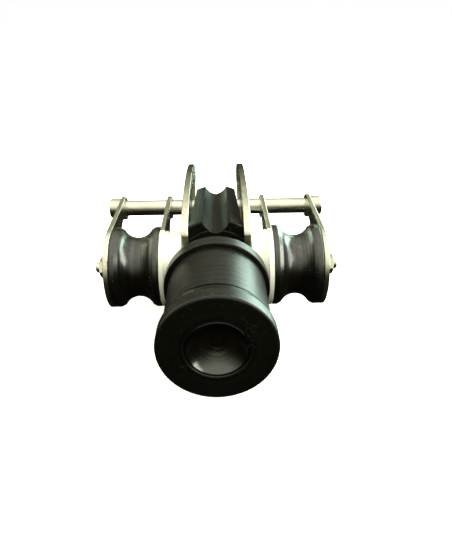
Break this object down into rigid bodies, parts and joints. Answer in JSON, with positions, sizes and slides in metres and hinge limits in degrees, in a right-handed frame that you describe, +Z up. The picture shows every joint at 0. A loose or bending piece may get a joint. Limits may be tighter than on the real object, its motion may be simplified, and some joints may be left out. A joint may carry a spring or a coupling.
{
  "type": "bow roller",
  "caption": "Bow roller with a bobbin-shaped nose roller, side sheaves in link plates, a channelled saddle block and slotted oval cheek plates that clamp to the stem.",
  "frame": {"origin": "midway between the two cheek plates, on the line of the clamping bolt that crosses their slots near the aft end", "axes": "+Y aft along the nose roller's axis, +X to starboard along the sheave axle, +Z up"},
  "size_m": [0.2268, 0.325, 0.1047],
  "materials": {
    "black_plastic": "turned and milled black acetal, satin",
    "stainless_steel": "brushed and lightly polished stainless steel",
    "bronze": "machined bronze",
    "white_nylon": "machined white nylon"
  },
  "bodies": {
    "frame": {"saddle_block": "black_plastic", "spindle_bolt": "stainless_steel", "spindle_washer": "stainless_steel", "thrust_washer": "white_nylon", "main_axle": "stainless_steel", "cheek_plate_left": "stainless_steel", "hub_spacer_left": "white_nylon", "inner_link_left": "stainless_steel", "outer_link_left": "stainless_steel", "sheave_washers_left": "white_nylon", "cross_pin_left": "stainless_steel", "pin_cap_left": "stainless_steel", "axle_washer_left": "stainless_steel", "axle_nut_left": "stainless_steel", "cheek_plate_right": "stainless_steel", "hub_spacer_right": "white_nylon", "inner_link_right": "stainless_steel", "outer_link_right": "stainless_steel", "sheave_washers_right": "white_nylon", "cross_pin_right": "stainless_steel", "pin_cap_right": "stainless_steel", "axle_washer_right": "stainless_steel", "axle_nut_right": "stainless_steel"},
    "nose": {"nose_roller": "black_plastic", "nose_plug": "black_plastic", "nose_bush_front": "bronze", "nose_bush_rear": "bronze"},
    "sheave_l": {"sheave_left": "black_plastic", "sheave_bush_left": "bronze"},
    "sheave_r": {"sheave_right": "black_plastic", "sheave_bush_right": "bronze"}
  },
  "joints": [
    {"name": "nose_spin", "type": "hinge", "parent": "frame", "child": "nose", "pos_m": [0, -0.223, -0.03], "axis": [0, 1, 0], "continuous": true},
    {"name": "sheave_left_spin", "type": "hinge", "parent": "frame", "child": "sheave_l", "pos_m": [-0.0728, -0.14, -0.03], "axis": [1, 0, 0], "continuous": true},
    {"name": "sheave_right_spin", "type": "hinge", "parent": "frame", "child": "sheave_r", "pos_m": [0.0728, -0.14, -0.03], "axis": [1, 0, 0], "continuous": true}
  ]
}
